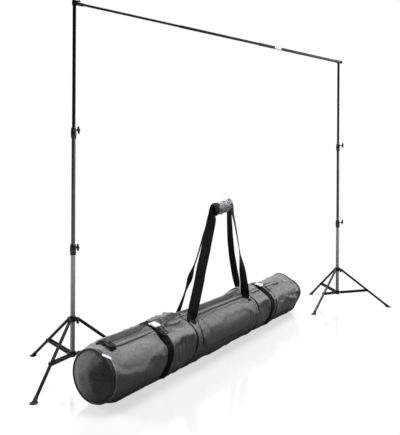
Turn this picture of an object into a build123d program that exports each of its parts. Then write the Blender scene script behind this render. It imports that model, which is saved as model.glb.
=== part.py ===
from build123d import *
import os
from math import atan2, cos, degrees, hypot, radians, sin, sqrt

os.makedirs("parts", exist_ok=True)

# Background support system: two three-section stands, a telescopic crossbar and a carry bag.
# Millimetres, +Z up, +X along the crossbar from the left stand to the right one.

# --- whole system
bar_height = 2000.0  # crossbar axis above the floor
stand_spacing = 2404.0  # between the two stand axes
leg_headings = {"left": -23.8, "right": -50.4}  # first leg, degrees from +X seen from above
knob_heading = -40.5  # the clamp knobs' direction, degrees from +X

# --- fits
run_gap = 0.05  # a part that turns or slides in its guide
seat_gap = 0.03  # a part fixed in its seat
play = 0.3  # between faces that pass each other
over = 1.0  # how far a cut or a joined piece runs past a face
edge_break = 1.0  # chamfer of small turned edges
casting_edge = 1.5  # chamfer of the castings' rims

# --- stand tubes
lower_tube_d = 25.0
middle_tube_d = 22.0
upper_tube_d = 19.0
tube_wall = 1.2
lower_tube_foot = 88.0  # underside of the lower tube above the floor
lower_joint_z = 697.0  # top of the lower clamp
upper_joint_z = 1326.0  # top of the upper clamp
tube_overlap = 80.0  # a section's length left inside the one below it
spigot_d = 16.0
spigot_length = 20.0
spigot_drop = 10.0  # its foot below the crossbar axis
spigot_root = 12.0  # its plug inside the tube

# --- clamps between the tubes
clamp_height = 60.0
clamp_wall = 2.8
clamp_bulge = 2.0
clamp_lip = 1.0  # how much thicker the wall is at the clamp's mouth
clamp_waist = 27.0  # its widest place above its foot
clamp_slit = 2.5
lug_thickness = 7.0
lug_reach = 18.0
lug_height = 26.0
lug_drop = 2.0  # lug's top below the clamp's top
lug_screw_shift = 2.5  # screw beyond the middle of the lug's reach

# --- clamping knobs
stud_d = 6.0
knob_stand_off = 23.0  # from the column axis to the knob's near face
knob_hub_d = 13.0
knob_hub_length = 16.0
knob_edge = 1.2
wing_span = 42.0
wing_width = 12.0
wing_thickness = 10.0
wing_set_back = 3.0  # wings behind the hub's near face
wing_tilt = 25.0  # wings away from upright, degrees
wing_round = 2.0

# --- leg hub, which slides on the lower tube
hub_height = 292.0  # leg pivots above the floor
hub_pivot_r = 28.0
hub_ring_d = 34.0
hub_ring_top = 17.0
hub_ring_bottom = 14.0
hub_knob_reach = 28.0  # boss face from the column axis
hub_boss_d = 15.0
hub_knob_gap = 3.0  # between the boss and its knob
ear_thickness = 4.0
ear_r = 7.0

# --- base collar, fixed on the lower tube
collar_height = 104.0  # brace pivots above the floor
collar_pivot_r = 24.0
collar_ring_d = 33.0
collar_half_height = 15.0

# --- legs, braces and feet
leg_angle = 52.4  # legs from upright, degrees
leg_d = 17.0
leg_wall = 1.2
ankle_height = 12.0  # end of the leg tube's axis above the floor
brace_joint_reach = 266.0  # along the leg, from its pivot
brace_depth = 16.0
brace_thickness = 2.5
pin_d = 5.0
pin_head_d = 8.6
pin_head_height = 1.5
boot_wall = 1.7
boot_length = 15.0
sole_length = 44.0
sole_width = 40.0
sole_thickness = 2.6
sole_flare = 8.0  # height of the cone between the sole and the boot
sole_margin = 4.0  # flat rim round the cone
sole_set_back = 4.0  # sole's middle behind the point where the leg's axis meets the floor

# --- crossbar
bar_section_length = 938.0
small_bar_d = 15.0
middle_bar_d = 18.0
large_bar_d = 21.0
bar_wall = 1.2
lock_head = 16.0
lock_shank = 22.0
socket_d = 24.5
socket_drop = 15.0  # the fittings' lower edge below the crossbar axis
left_socket_length = 50.0
left_socket_wall = 3.75
right_socket_length = 40.0
right_ball_r = 14.0
right_boss_reach = 16.0  # its face from the stand axis
socket_start = 10.0  # the crossbar's end from the stand axis
hood_length = 32.0
hood_width = 25.0
hood_height = 17.0  # above the crossbar axis
hood_shift = 4.0  # its middle from the stand axis towards the crossbar
hood_round = 9.0
end_knob_d = 20.0
end_stud_d = 6.0
left_screw_x = 29.0  # bar screw from the stand axis
left_screw_stand_off = 38.0  # its head above the crossbar axis
left_boss_height = 16.0  # above the crossbar axis
left_head_height = 9.0
flutes = 12
flute_r = 1.8
screw_boss_d = 14.0
right_knob_d = 25.0
right_screw_stand_off = 22.0  # its ball from the stand axis
right_screw_rise = 3.0  # above the crossbar axis

# --- carry bag
bag_length = 2150.0
bag_r = 148.0
bag_cap_r = 122.0
bag_cap_round = 24.0
bag_shoulder = 96.0  # from each end to the full girth
bag_far_r = 138.0
near_slope = 0.25  # rise over run where each end's rim begins to widen
far_slope = 0.2
bag_flat = 6.0  # how far the underside is pressed flat
bag_wall = 4.0
bag_near = (-1341.6, -452.3)  # near end's middle, from the midpoint between the stands
bag_heading = 16.7
piping_r = 3.0
strap_width = 48.0
strap_thickness = 2.5
strap_places = (126.0, 420.0, 1640.0)
buckle_angle = 40.0  # buckles round from the top towards the front, degrees
buckle_length = 60.0
buckle_width = 56.0
buckle_thickness = 11.0
buckle_round = 8.0
buckle_edge = 2.0
front_feet = (700.0, 1360.0)  # the handles' ends along the bag
back_feet = (810.0, 1560.0)
handle_peak = 1175.0
handle_height = 865.0  # middle of the grip above the floor
handle_band = 58.0
handle_bend = 40.0  # the webbing's turn at each end of the grip
handle_thickness = 4.0
handle_side = 85.0  # the feet out from the bag's middle line
handle_split = 8.0  # the two bands out from the middle at the grip
grip_length = 205.0
grip_rise = 30.0  # its far end above its near end
grip_margin = 5.0
grip_round = 8.0
zip_place = 490.0  # the slider from the near end
zip_angle = 22.0  # the long zip round from the top towards the front, degrees
zip_slider_size = (30.0, 12.0, 7.0)
zip_slider_round = 3.0
zip_pull_size = (26.0, 8.0, 2.4)
zip_pull_lap = 5.0  # how far the pull runs over the slider

# --- sizes worked out from those above
leg_clear = leg_d / 2 + play  # inner face of what straddles a leg
leg_reach = (hub_height - ankle_height) / cos(radians(leg_angle))
joint_r = hub_pivot_r + brace_joint_reach * sin(radians(leg_angle))
joint_z = hub_height - brace_joint_reach * cos(radians(leg_angle))
brace_length = hypot(joint_r - collar_pivot_r, joint_z - collar_height)
brace_angle = degrees(atan2(joint_r - collar_pivot_r, joint_z - collar_height))
brace_outside = leg_clear + brace_thickness
fitting_bottom = bar_height - socket_drop
tube_top = bar_height - spigot_drop
right_screw_z = bar_height + right_screw_rise
lug_half = lug_thickness + clamp_slit / 2
boot_d = leg_d + 2 * boot_wall
screw_drop = lug_drop + lug_height / 2
bag_axis_z = bag_r - bag_flat


def cylinder_along(radius, start, end):
    """A solid cylinder from one point to another."""
    line = Vector(*end) - Vector(*start)
    plane = Plane(origin=start, z_dir=line)
    return plane * extrude(Circle(radius), line.length)


def tube(diameter, wall, bottom, top):
    """An upright tube, its axis on Z."""
    ring = Circle(diameter / 2) - Circle(diameter / 2 - wall)
    return Pos(0, 0, bottom) * extrude(ring, top - bottom)


def upright_slot(x_a, z_a, x_b, z_b, radius, y_low, y_high):
    """A bar with round ends in the XZ plane, between two values of Y."""
    run = hypot(x_b - x_a, z_b - z_a)
    face = SlotCenterToCenter(run, 2 * radius)
    tilt = degrees(atan2(z_b - z_a, x_b - x_a))
    plane = Plane(origin=(0, y_high, 0), x_dir=(1, 0, 0), z_dir=(0, -1, 0))
    placed = plane * Pos((x_a + x_b) / 2, (z_a + z_b) / 2) * Rot(0, 0, tilt) * face
    return extrude(placed, y_high - y_low)


def pin_through(x, z, half_span):
    """A riveted pin along Y with a head at each end; half_span is to the heads' inner faces."""
    shank = cylinder_along(pin_d / 2, (x, -half_span, z), (x, half_span, z))
    for side in (-1, 1):
        inner = (x, side * half_span, z)
        outer = (x, side * (half_span + pin_head_height), z)
        shank += cylinder_along(pin_head_d / 2, inner, outer)
    return shank


def three_ways(shape):
    """The shape at each of the three legs."""
    return [Rot(0, 0, 120 * k) * shape for k in range(3)]


# --- one stand, about its own axis, first leg along +X


def make_clamp(outer_d, inner_d, top):
    """A split clamp: its lower half seats on the outer tube, its upper half grips the inner one."""
    low_r = outer_d / 2 + clamp_wall
    top_r = inner_d / 2 + clamp_wall + clamp_lip
    bottom = top - clamp_height
    waist = bottom + clamp_waist
    with BuildPart() as body:
        with BuildSketch(Plane.XZ):
            with BuildLine():
                foot = (low_r, bottom + edge_break)
                head = (top_r, top - edge_break)
                Polyline((0, bottom), (low_r - edge_break, bottom), foot)
                ThreePointArc(foot, (low_r + clamp_bulge, waist), head)
                Polyline(head, (top_r - edge_break, top), (0, top), (0, bottom))
            make_face()
        revolve(axis=Axis.Z)
    shape = body.part
    lug_top = top - lug_drop
    lug_r = lug_height / 2
    reach = outer_d / 2 + lug_reach - lug_r
    lug = Plane.YZ * Pos(-reach / 2, lug_top - lug_r) * SlotCenterToCenter(reach, lug_height)
    shape += extrude(lug, lug_half, both=True)
    shape -= Pos(0, 0, bottom - over) * extrude(
        Circle(outer_d / 2 + seat_gap), tube_seat(top) - bottom + over
    )
    shape -= Pos(0, 0, bottom) * extrude(Circle(inner_d / 2 + run_gap), clamp_height + over)
    slit_bottom = tube_seat(top) + clamp_slit
    slit = Pos(0, -outer_d, (slit_bottom + top + over) / 2)
    shape -= slit * Box(clamp_slit, 2 * outer_d, top + over - slit_bottom)
    screw_y, screw_z = clamp_screw(outer_d, top)
    hole = cylinder_along(
        stud_d / 2 + run_gap,
        (-lug_half - over, screw_y, screw_z),
        (lug_half + over, screw_y, screw_z),
    )
    return Rot(0, 0, knob_heading) * (shape - hole)


def clamp_screw(outer_d, top):
    """Where the clamp's screw crosses its lug."""
    return -(outer_d / 2 + lug_reach / 2 + lug_screw_shift), top - screw_drop


def tube_seat(top):
    """Height of the clamp's inner shoulder, which the outer tube ends against."""
    return top - lug_drop - lug_height


def make_wing_knob():
    """A T-shaped knob on its stud, pointing along +X from the column axis at the origin."""
    hub = cylinder_along(
        knob_hub_d / 2, (knob_stand_off, 0, 0), (knob_stand_off + knob_hub_length, 0, 0)
    )
    hub = chamfer(hub.edges().filter_by(GeomType.CIRCLE), knob_edge)
    wings = SlotOverall(wing_span, wing_width)
    grip = Plane.YZ * Rot(0, 0, 90 + wing_tilt) * wings
    grip = Pos(knob_stand_off + wing_set_back, 0, 0) * extrude(grip, wing_thickness)
    grip = fillet(grip.edges().filter_by(GeomType.LINE, reverse=True), wing_round)
    return hub + grip


def make_clamp_knob(outer_d, top):
    stud = cylinder_along(stud_d / 2, (-lug_half + over, 0, 0), (knob_stand_off + over, 0, 0))
    knob = Pos(0, *clamp_screw(outer_d, top)) * (make_wing_knob() + stud)
    return Rot(0, 0, knob_heading) * knob


def make_hub():
    """The sliding casting with a pair of ears for each leg and a boss for its locking knob."""
    ring_r = hub_ring_d / 2
    ring = Pos(0, 0, hub_height - hub_ring_bottom) * extrude(
        Circle(ring_r), hub_ring_top + hub_ring_bottom
    )
    ring = chamfer(ring.edges().filter_by(GeomType.CIRCLE), casting_edge)
    for y_low in (leg_clear, -leg_clear - ear_thickness):
        ear = upright_slot(
            ring_r - ear_r, hub_height, hub_pivot_r, hub_height, ear_r, y_low, y_low + ear_thickness
        )
        for placed in three_ways(ear):
            ring += placed
    boss = cylinder_along(hub_boss_d / 2, (0, 0, 0), (hub_knob_reach, 0, 0))
    ring += Rot(0, 0, -60) * Pos(0, 0, hub_height) * boss
    bore = extrude(Circle(lower_tube_d / 2 + run_gap), 2 * hub_ring_d)
    ring -= Pos(0, 0, hub_height - hub_ring_d) * bore
    tapped = cylinder_along(stud_d / 2 + run_gap, (0, 0, 0), (hub_knob_reach + over, 0, 0))
    ring -= Rot(0, 0, -60) * Pos(0, 0, hub_height) * tapped
    eye = cylinder_along(
        pin_d / 2 + seat_gap,
        (hub_pivot_r, -hub_ring_d, hub_height),
        (hub_pivot_r, hub_ring_d, hub_height),
    )
    for placed in three_ways(eye):
        ring -= placed
    return ring


def make_hub_knob():
    """The hub's knob, whose stud bears on the lower tube."""
    stud = cylinder_along(
        stud_d / 2,
        (lower_tube_d / 2 + play, 0, 0),
        (hub_knob_reach + hub_knob_gap + over, 0, 0),
    )
    lift = hub_knob_reach + hub_knob_gap - knob_stand_off
    knob = Pos(lift, 0, 0) * make_wing_knob() + stud
    return Rot(0, 0, -60) * Pos(0, 0, hub_height) * knob


def make_collar():
    """The fixed casting that the braces hang on, one tab for each."""
    ring = Pos(0, 0, collar_height - collar_half_height) * extrude(
        Circle(collar_ring_d / 2), 2 * collar_half_height
    )
    ring = chamfer(ring.edges().filter_by(GeomType.CIRCLE), casting_edge)
    tab = upright_slot(
        collar_ring_d / 2 - ear_r, collar_height, collar_pivot_r, collar_height, ear_r,
        -leg_clear + play, leg_clear - play,
    )
    for placed in three_ways(tab):
        ring += placed
    bore = extrude(Circle(lower_tube_d / 2 + seat_gap), 2 * collar_ring_d)
    ring -= Pos(0, 0, collar_height - collar_ring_d) * bore
    eye = cylinder_along(
        pin_d / 2 + seat_gap,
        (collar_pivot_r, -collar_ring_d, collar_height),
        (collar_pivot_r, collar_ring_d, collar_height),
    )
    for placed in three_ways(eye):
        ring -= placed
    return ring


def make_leg():
    """A tube with a spun closed top, pivoting on its pin and open at the foot."""
    radius = leg_d / 2
    bore = radius - leg_wall
    shape = Pos(0, 0, -leg_reach) * extrude(Circle(radius), leg_reach) + Sphere(radius)
    shape -= Pos(0, 0, -leg_reach - over) * extrude(Circle(bore), leg_reach + over)
    shape -= cylinder_along(pin_d / 2 + run_gap, (0, -leg_d, 0), (0, leg_d, 0))
    return Pos(hub_pivot_r, 0, hub_height) * Rot(0, -leg_angle, 0) * shape


def make_foot():
    """A rubber boot on the leg's end, flared out to a flat sole."""
    along = Vector(sin(radians(leg_angle)), 0, -cos(radians(leg_angle)))
    ankle = Vector(hub_pivot_r, 0, hub_height) + along * leg_reach
    top = ankle - along * boot_length
    toe = ankle + along * (ankle_height / cos(radians(leg_angle)))
    boot = cylinder_along(boot_d / 2, tuple(top), tuple(toe))
    middle = toe.X - sole_set_back
    boot += Pos(middle, 0, 0) * extrude(Ellipse(sole_length / 2, sole_width / 2), sole_thickness)
    rim = Pos(middle, 0, sole_thickness) * Ellipse(
        sole_length / 2 - sole_margin, sole_width / 2 - sole_margin
    )
    neck = Pos(ankle.X, 0, sole_thickness + sole_flare) * Circle(boot_d / 2)
    boot += loft([rim, neck])
    boot -= Pos(middle, 0, -sole_width / 2) * Box(2 * sole_length, 2 * sole_width, sole_width)
    boot -= cylinder_along(leg_d / 2 + seat_gap, tuple(top - along * over), tuple(ankle))
    return boot


def make_brace():
    """Two flat bars astride the leg, with the rivet heads that hold them to it."""
    bars = []
    for side in (-1, 1):
        y_low = leg_clear if side > 0 else -brace_outside
        bar = upright_slot(
            collar_pivot_r, collar_height, joint_r, joint_z,
            brace_depth / 2, y_low, y_low + brace_thickness,
        )
        bar -= cylinder_along(
            pin_d / 2 + run_gap,
            (collar_pivot_r, -collar_ring_d, collar_height),
            (collar_pivot_r, collar_ring_d, collar_height),
        )
        face = side * brace_outside
        head = cylinder_along(
            pin_head_d / 2,
            (joint_r, face, joint_z),
            (joint_r, face + side * pin_head_height, joint_z),
        )
        bars += [bar, head]
    return Compound(bars)


def make_upper_tube():
    """The top section, closed by the spigot that the crossbar's fitting sits on."""
    bottom = upper_joint_z - tube_overlap
    shape = tube(upper_tube_d, tube_wall, bottom, tube_top)
    plug = Circle(upper_tube_d / 2 - tube_wall / 2)
    shape += Pos(0, 0, tube_top - spigot_root) * extrude(plug, spigot_root)
    spigot = Pos(0, 0, tube_top) * extrude(Circle(spigot_d / 2), spigot_length)
    spigot = chamfer(spigot.edges().sort_by(Axis.Z)[-1], edge_break)
    return shape + spigot


def make_stand(side):
    """All of one stand's pieces by name, standing at its place."""
    pins = pin_through(hub_pivot_r, hub_height, leg_clear + ear_thickness)
    base_pins = pin_through(collar_pivot_r, collar_height, brace_outside + play)
    pieces = {
        "lower_tube": tube(lower_tube_d, tube_wall, lower_tube_foot, tube_seat(lower_joint_z)),
        "middle_tube": tube(
            middle_tube_d, tube_wall, lower_joint_z - tube_overlap, tube_seat(upper_joint_z)
        ),
        "upper_tube": make_upper_tube(),
        "leg_hub": make_hub(),
        "hub_knob": make_hub_knob(),
        "hub_pins": Compound(three_ways(pins)),
        "base_collar": make_collar(),
        "base_pins": Compound(three_ways(base_pins)),
    }
    for name, piece in {"leg": make_leg(), "foot": make_foot(), "brace": make_brace()}.items():
        for number, placed in enumerate(three_ways(piece), 1):
            pieces[f"{name}_{number}"] = placed
    heading = Rot(0, 0, leg_headings[side])
    pieces = {name: heading * piece for name, piece in pieces.items()}
    pieces["lower_clamp"] = make_clamp(lower_tube_d, middle_tube_d, lower_joint_z)
    pieces["upper_clamp"] = make_clamp(middle_tube_d, upper_tube_d, upper_joint_z)
    pieces["lower_clamp_knob"] = make_clamp_knob(lower_tube_d, lower_joint_z)
    pieces["upper_clamp_knob"] = make_clamp_knob(middle_tube_d, upper_joint_z)
    stand_x = stand_spacing / 2 if side == "right" else -stand_spacing / 2
    return {f"{side}_{name}": Pos(stand_x, 0, 0) * piece for name, piece in pieces.items()}


# --- crossbar, its axis along X at the crossbar's height


def bar_tube(diameter, start):
    ring = Plane.YZ * (Circle(diameter / 2) - Circle(diameter / 2 - bar_wall))
    return Pos(start, 0, bar_height) * extrude(ring, bar_section_length)


def make_bar_lock(inner_d, outer_d, end):
    """A nylon lock pressed into a section's end; its head turns in the next section's bore."""
    bore_r = inner_d / 2 - bar_wall - seat_gap
    head_r = outer_d / 2 - bar_wall - play
    shank = cylinder_along(bore_r, (end - lock_shank, 0, bar_height), (end, 0, bar_height))
    head = cylinder_along(head_r, (end, 0, bar_height), (end + lock_head, 0, bar_height))
    return shank + chamfer(head.edges().filter_by(GeomType.CIRCLE), edge_break)


def stand_socket(stand_x):
    """The upright sleeve of an end fitting, before its bores are cut."""
    sleeve = Pos(stand_x, 0, fitting_bottom) * extrude(Circle(socket_d / 2), socket_drop)
    return chamfer(sleeve.edges().sort_by(Axis.Z)[0], edge_break)


def socket_bores(stand_x):
    """What the stand's tube top and spigot take out of a fitting."""
    wide = Pos(stand_x, 0, fitting_bottom - over) * extrude(
        Circle(upper_tube_d / 2 + seat_gap), tube_top - fitting_bottom + over
    )
    narrow = Pos(stand_x, 0, tube_top - over) * extrude(
        Circle(spigot_d / 2 + seat_gap), spigot_length + over
    )
    return wide + narrow


def make_left_fitting():
    """A hooded elbow: upright sleeve, rounded hood and a socket for the crossbar."""
    x = -stand_spacing / 2
    shape = stand_socket(x)
    outline = RectangleRounded(hood_length, hood_width, hood_round)
    hood = extrude(outline, hood_height + socket_drop / 2)
    hood = fillet(hood.edges().group_by(Axis.Z)[-1], hood_round)
    shape += Pos(x + hood_shift, 0, bar_height - socket_drop / 2) * hood
    shape += cylinder_along(
        small_bar_d / 2 + left_socket_wall,
        (x, 0, bar_height),
        (x + left_socket_length, 0, bar_height),
    )
    boss = extrude(Circle(screw_boss_d / 2), left_boss_height)
    shape += Pos(x + left_screw_x, 0, bar_height) * boss
    shape -= socket_bores(x)
    shape -= cylinder_along(
        small_bar_d / 2 + seat_gap,
        (x + socket_start, 0, bar_height),
        (x + left_socket_length + over, 0, bar_height),
    )
    hole = extrude(Circle(end_stud_d / 2 + run_gap), left_screw_stand_off)
    return shape - Pos(x + left_screw_x, 0, bar_height) * hole


def make_right_fitting():
    """A tee with a blind socket for the crossbar and a boss for the end screw."""
    x = stand_spacing / 2
    shape = stand_socket(x)
    shape += cylinder_along(
        socket_d / 2, (x - right_socket_length, 0, bar_height), (x, 0, bar_height)
    )
    shape += Pos(x, 0, bar_height) * Sphere(right_ball_r)
    boss_end = x + right_boss_reach
    shape += cylinder_along(screw_boss_d / 2, (x, 0, right_screw_z), (boss_end, 0, right_screw_z))
    shape -= socket_bores(x)
    shape -= cylinder_along(
        large_bar_d / 2 + seat_gap,
        (x - right_socket_length - over, 0, bar_height),
        (x - socket_start, 0, bar_height),
    )
    hole = cylinder_along(
        end_stud_d / 2 + run_gap, (x, 0, right_screw_z), (boss_end + over, 0, right_screw_z)
    )
    return shape - hole


def make_left_screw():
    """The thumbscrew that holds the crossbar in the left fitting."""
    low = small_bar_d / 2 + play
    high = left_screw_stand_off
    stud = Pos(0, 0, low) * extrude(Circle(end_stud_d / 2), high - low + over)
    head = Pos(0, 0, high) * extrude(Circle(end_knob_d / 2), left_head_height)
    head = chamfer(head.edges().filter_by(GeomType.CIRCLE), knob_edge)
    flute = extrude(Circle(flute_r), left_head_height + 2 * over)
    flute = Pos(end_knob_d / 2 + flute_r / 2, 0, high - over) * flute
    for k in range(flutes):
        head -= Rot(0, 0, 360 * k / flutes) * flute
    return Pos(-stand_spacing / 2 + left_screw_x, 0, bar_height) * (stud + head)


def make_right_screw():
    """The ball-headed screw that holds the right fitting on its spigot."""
    low = spigot_d / 2 + play
    middle = right_screw_stand_off + right_knob_d / 2
    stud = cylinder_along(end_stud_d / 2, (low, 0, 0), (middle, 0, 0))
    ball = Pos(middle, 0, 0) * Sphere(right_knob_d / 2)
    return Pos(stand_spacing / 2, 0, right_screw_z) * (stud + ball)


small_bar_start = -stand_spacing / 2 + socket_start
large_bar_start = stand_spacing / 2 - socket_start - bar_section_length
middle_bar_start = (small_bar_start + large_bar_start) / 2

pieces = {**make_stand("left"), **make_stand("right")}
pieces["bar_small_tube"] = bar_tube(small_bar_d, small_bar_start)
pieces["bar_middle_tube"] = bar_tube(middle_bar_d, middle_bar_start)
pieces["bar_large_tube"] = bar_tube(large_bar_d, large_bar_start)
pieces["bar_small_lock"] = make_bar_lock(
    small_bar_d, middle_bar_d, small_bar_start + bar_section_length
)
pieces["bar_middle_lock"] = make_bar_lock(
    middle_bar_d, large_bar_d, middle_bar_start + bar_section_length
)
pieces["left_end_fitting"] = make_left_fitting()
pieces["right_end_fitting"] = make_right_fitting()
pieces["left_end_screw"] = make_left_screw()
pieces["right_end_screw"] = make_right_screw()


# --- carry bag, lying along its own X from its near end, underside on the floor


def bag_profile(inset):
    """Half outline of the bag along its length, taken in by a wall."""
    cap_r = bag_cap_r - inset
    full_r = bag_r - inset
    far_r = bag_far_r - inset
    far = bag_length - inset
    knee = bag_cap_round
    with BuildLine() as line:
        Line((inset, 0), (inset, cap_r - knee))
        RadiusArc((inset, cap_r - knee), (inset + knee, cap_r), knee)
        Spline(
            (inset + knee, cap_r),
            (bag_shoulder, full_r),
            tangents=[(1, near_slope), (1, 0)],
        )
        Line((bag_shoulder, full_r), (bag_length - bag_shoulder, full_r))
        Spline(
            (bag_length - bag_shoulder, full_r),
            (far - knee, far_r),
            tangents=[(1, 0), (1, -far_slope)],
        )
        RadiusArc((far - knee, far_r), (far, far_r - knee), knee)
        Polyline((far, far_r - knee), (far, 0), (inset, 0))
    return make_face(line.line)


def ground_block(top):
    """A block under a height, to cut off what lies lower."""
    depth = 2 * bag_r
    return Pos(bag_length / 2, 0, top - depth / 2) * Box(2 * bag_length, 2 * depth, depth)


def bag_body(inset):
    turned = revolve(bag_profile(inset), axis=Axis.X)
    turned = Pos(0, 0, bag_axis_z) * turned
    return turned - ground_block(inset)


def ring_round_bag(x, radius, face):
    """A section turned about the bag's axis and cut off at the floor."""
    turned = revolve(Pos(x, radius) * face, axis=Axis.X)
    turned = Pos(0, 0, bag_axis_z) * turned
    return turned - ground_block(0)


def make_straps():
    face = Rectangle(strap_width, strap_thickness)
    middle = bag_r + play + strap_thickness / 2
    rings = [ring_round_bag(x, middle, face) for x in strap_places]
    return Compound(rings)


def make_buckles():
    """Side-release buckles on the straps, towards the front."""
    outside = bag_r + play + strap_thickness + play
    buckles = []
    for x in strap_places:
        case = Box(buckle_width, buckle_length, buckle_thickness)
        case = fillet(case.edges().filter_by(Axis.Z), buckle_round)
        case = chamfer(case.edges().group_by(Axis.Z)[-1], buckle_edge)
        lift = outside + buckle_thickness / 2
        hollow = cylinder_along(
            outside, (-buckle_width, 0, -lift), (buckle_width, 0, -lift)
        )
        case -= hollow
        buckles.append(Pos(x, 0, bag_axis_z) * Rot(buckle_angle, 0, 0) * Pos(0, 0, lift) * case)
    return Compound(buckles)


def handle_plane(side):
    """The leaning plane that one webbing loop lies in; its local Y runs up the loop."""
    foot_z = bag_axis_z + sqrt((bag_r + play) ** 2 - handle_side**2)
    lean = Vector(0, handle_split - handle_side, handle_height - foot_z)
    lean = Vector(0, side * lean.Y, lean.Z)
    origin = (0, side * handle_side, foot_z)
    return Plane(origin=origin, x_dir=(1, 0, 0), z_dir=Vector(1, 0, 0).cross(lean)), lean.length


def make_handle(side):
    plane, rise = handle_plane(side)
    near_foot, far_foot = front_feet if side < 0 else back_feet
    half_grip = grip_length / 2 + handle_bend
    tilt = grip_rise / grip_length * half_grip
    route = FilletPolyline(
        (near_foot, -handle_band / 2),
        (handle_peak - half_grip, rise - tilt),
        (handle_peak + half_grip, rise + tilt),
        (far_foot, -handle_band / 2),
        radius=handle_bend,
    )
    band = extrude(plane * trace(route, handle_band), handle_thickness / 2, both=True)
    inside_bag = cylinder_along(
        bag_r + play, (bag_shoulder, 0, bag_axis_z), (bag_length - bag_shoulder, 0, bag_axis_z)
    )
    return band - inside_bag


def make_grip():
    """The wrap that holds both webbing loops together at the hand."""
    plane, rise = handle_plane(1)
    slope = -plane.y_dir.Y / plane.y_dir.Z
    band_half = handle_split + handle_thickness / 2 + slope * (handle_band + grip_rise) / 2
    cavity = Rectangle(2 * (band_half + play), handle_band + 2 * play)
    across = 2 * (band_half + grip_margin)
    tall = handle_band + 2 * grip_margin
    face = RectangleRounded(across, tall, grip_round)
    grip = extrude(Plane.YZ * (face - cavity), grip_length / 2, both=True)
    slant = degrees(atan2(grip_rise, grip_length))
    return Pos(handle_peak, 0, handle_height) * Rot(0, -slant, 0) * grip


def make_zip_slider():
    length, width, height = zip_slider_size
    slider = Box(length, width, height)
    slider = fillet(slider.edges().filter_by(Axis.Z), zip_slider_round)
    pull_length, pull_width, pull_thickness = zip_pull_size
    pull = Box(pull_length, pull_width, pull_thickness)
    slider += Pos((length + pull_length) / 2 - zip_pull_lap, 0, -height / 4) * pull
    seat = bag_r + play + height / 2
    return Pos(zip_place, 0, bag_axis_z) * Rot(zip_angle, 0, 0) * Pos(0, 0, seat) * slider


def make_piping():
    ring = Circle(piping_r)
    near = ring_round_bag(bag_cap_round, bag_cap_r + piping_r + play, ring)
    far = ring_round_bag(bag_length - bag_cap_round, bag_far_r + piping_r + play, ring)
    return Compound([near, far])


bag_pieces = {
    "bag_body": bag_body(0) - bag_body(bag_wall),
    "bag_piping": make_piping(),
    "bag_straps": make_straps(),
    "bag_buckles": make_buckles(),
    "bag_handle_front": make_handle(-1),
    "bag_handle_back": make_handle(1),
    "bag_grip": make_grip(),
    "bag_zip_slider": make_zip_slider(),
}
bag_place = Pos(bag_near[0], bag_near[1], 0) * Rot(0, 0, bag_heading)
for name, piece in bag_pieces.items():
    pieces[name] = bag_place * piece

# The origin is the middle of the system's footprint, on the floor.
boxes = [piece.bounding_box() for piece in pieces.values()]
middle_x = (min(box.min.X for box in boxes) + max(box.max.X for box in boxes)) / 2
middle_y = (min(box.min.Y for box in boxes) + max(box.max.Y for box in boxes)) / 2
to_origin = Pos(-middle_x, -middle_y, 0)

for name, piece in pieces.items():
    export_step(to_origin * piece, f"parts/{name}.step")
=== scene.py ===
import bmesh
import bpy
from math import atan2, cos, degrees, exp, floor, hypot, pi, radians, sin, sqrt
from mathutils import Matrix, Vector, noise


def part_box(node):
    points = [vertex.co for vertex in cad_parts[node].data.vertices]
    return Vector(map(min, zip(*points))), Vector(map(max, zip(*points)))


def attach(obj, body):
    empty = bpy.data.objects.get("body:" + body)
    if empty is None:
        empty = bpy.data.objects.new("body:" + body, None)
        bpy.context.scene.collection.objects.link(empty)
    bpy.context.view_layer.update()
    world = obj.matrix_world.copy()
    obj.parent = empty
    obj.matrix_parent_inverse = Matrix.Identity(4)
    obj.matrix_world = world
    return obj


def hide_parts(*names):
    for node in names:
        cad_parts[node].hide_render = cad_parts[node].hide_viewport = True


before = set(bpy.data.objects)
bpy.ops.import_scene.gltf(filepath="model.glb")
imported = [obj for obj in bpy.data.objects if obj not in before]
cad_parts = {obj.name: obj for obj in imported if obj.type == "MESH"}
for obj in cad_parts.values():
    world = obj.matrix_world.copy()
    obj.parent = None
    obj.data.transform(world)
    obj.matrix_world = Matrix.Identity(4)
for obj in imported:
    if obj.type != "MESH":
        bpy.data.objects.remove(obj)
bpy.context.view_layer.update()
print("frame loaded:", len(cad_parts), "nodes")


def middleOf(node):
    low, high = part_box(node)
    return (Vector(low) + Vector(high)) / 2


leftAxis = middleOf("left_upper_tube")
leftAxis.z = 0

camera = {
    "fromLeftStand": (-1.442, -2.715, 1.095),  # from the foot of its axis
    "heading": 40.82,
    "roll": 0.32,
    "lens": 45.91,
    "shiftY": -0.1069,
    "clipEnd": 50,
}

heading = radians(camera["heading"])
ahead = Vector((sin(heading), cos(heading), 0))
across = Vector((cos(heading), -sin(heading), 0))
up = Vector((0, 0, 1))
roll = radians(camera["roll"])
rightWay = across * cos(roll) + up * sin(roll)
upWay = up * cos(roll) - across * sin(roll)
cameraData = bpy.data.cameras.new("frontCamera")
cameraData.lens = camera["lens"]
cameraData.shift_y = camera["shiftY"]
cameraData.clip_end = camera["clipEnd"]
cameraObject = bpy.data.objects.new("frontCamera", cameraData)
cameraPose = Matrix((rightWay, upWay, -ahead)).transposed().to_4x4()
cameraPose.translation = leftAxis + Vector(camera["fromLeftStand"])
cameraObject.matrix_world = cameraPose
bpy.context.scene.collection.objects.link(cameraObject)
bpy.context.scene.camera = cameraObject
print("camera placed")


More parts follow.
